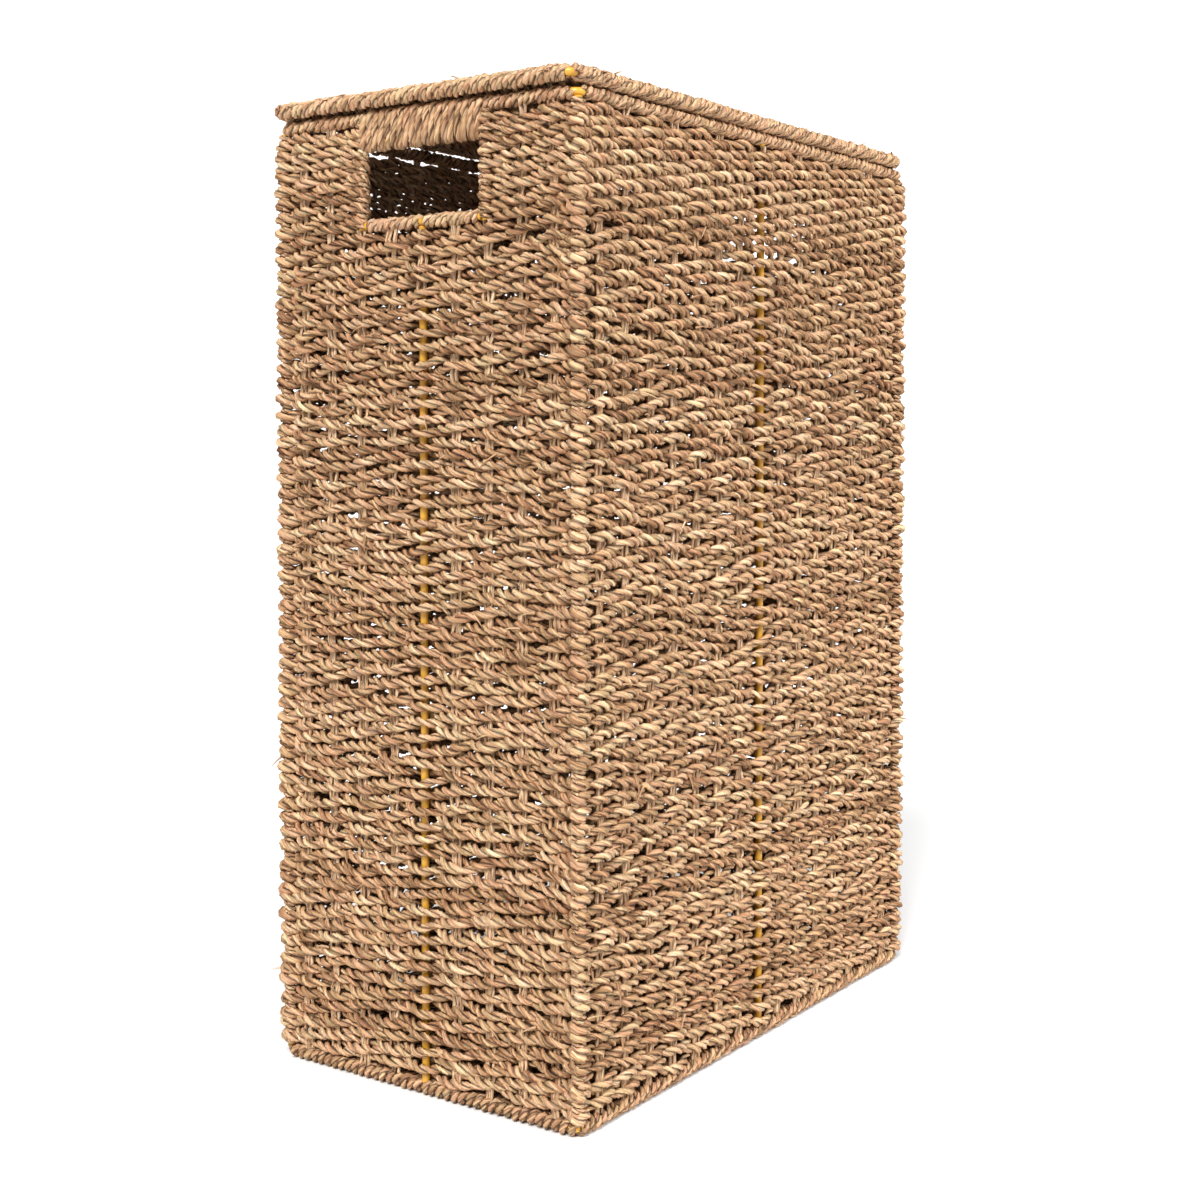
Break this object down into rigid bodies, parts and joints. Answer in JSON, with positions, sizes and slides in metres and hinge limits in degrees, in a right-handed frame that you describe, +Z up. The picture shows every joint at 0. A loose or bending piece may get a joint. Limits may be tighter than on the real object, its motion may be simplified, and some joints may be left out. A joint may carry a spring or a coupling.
{
  "type": "woven laundry basket",
  "caption": "Tall rectangular laundry basket woven in twisted seagrass on a welded rod frame, with a hand hole in each end and a flat lid on rope hinges.",
  "frame": {"origin": "middle of the base's underside, on the floor", "axes": "+Z up; +X along the long sides, towards the right end; +Y towards the back, where the lid hinges, so the front long side faces -Y and the hand holes are in the -X and +X ends"},
  "size_m": [0.4257, 0.2404, 0.6107],
  "materials": {
    "seagrass_weave": "dry twisted seagrass rope, matt, mottled tan and straw",
    "seagrass_winding": "seagrass strand wound tight round a rod, matt, paler tan",
    "lacquered_rod": "steel rod with a yellow-gold lacquer, satin",
    "hinge_rope": "thin twisted seagrass rope, matt"
  },
  "bodies": {
    "basket": {"base_binding_back": "seagrass_winding", "base_binding_front": "seagrass_winding", "base_binding_left": "seagrass_winding", "base_binding_right": "seagrass_winding", "base_cross_bar": "lacquered_rod", "base_ring": "lacquered_rod", "corner_binding_back_left": "seagrass_winding", "corner_binding_back_right": "seagrass_winding", "corner_binding_front_left": "seagrass_winding", "corner_binding_front_right": "seagrass_winding", "corner_post_back_left": "lacquered_rod", "corner_post_back_right": "lacquered_rod", "corner_post_front_left": "lacquered_rod", "corner_post_front_right": "lacquered_rod", "grip_rail_left": "lacquered_rod", "grip_rail_right": "lacquered_rod", "grip_winding_left": "seagrass_winding", "grip_winding_right": "seagrass_winding", "hand_hole_jamb_left_back": "lacquered_rod", "hand_hole_jamb_left_front": "lacquered_rod", "hand_hole_jamb_right_back": "lacquered_rod", "hand_hole_jamb_right_front": "lacquered_rod", "hand_hole_sill_rail_left": "lacquered_rod", "hand_hole_sill_rail_right": "lacquered_rod", "rim_binding_back_left": "seagrass_winding", "rim_binding_back_middle": "seagrass_winding", "rim_binding_back_right": "seagrass_winding", "rim_binding_front": "seagrass_winding", "rim_binding_left_back": "seagrass_winding", "rim_binding_left_front": "seagrass_winding", "rim_binding_right_back": "seagrass_winding", "rim_binding_right_front": "seagrass_winding", "rim_ring": "lacquered_rod", "sill_binding_left": "seagrass_winding", "sill_binding_right": "seagrass_winding", "upright_back": "lacquered_rod", "upright_front": "lacquered_rod", "upright_left": "lacquered_rod", "upright_right": "lacquered_rod", "weave_back": "seagrass_weave", "weave_base": "seagrass_weave", "weave_front": "seagrass_weave", "weave_left": "seagrass_weave", "weave_left_back": "seagrass_weave", "weave_left_front": "seagrass_weave", "weave_right": "seagrass_weave", "weave_right_back": "seagrass_weave", "weave_right_front": "seagrass_weave"},
    "lid": {"hinge_loop_left": "hinge_rope", "hinge_loop_right": "hinge_rope", "lid_binding_back_left": "seagrass_winding", "lid_binding_back_middle": "seagrass_winding", "lid_binding_back_right": "seagrass_winding", "lid_binding_front": "seagrass_winding", "lid_binding_left": "seagrass_winding", "lid_binding_right": "seagrass_winding", "lid_cross_bar": "lacquered_rod", "lid_ring": "lacquered_rod", "weave_lid": "seagrass_weave"}
  },
  "joints": [
    {"name": "lid_hinge", "type": "hinge", "parent": "basket", "child": "lid", "pos_m": [0, 0.1145, 0.5946], "axis": [-1, 0, 0], "range_deg": [0, 100]}
  ]
}
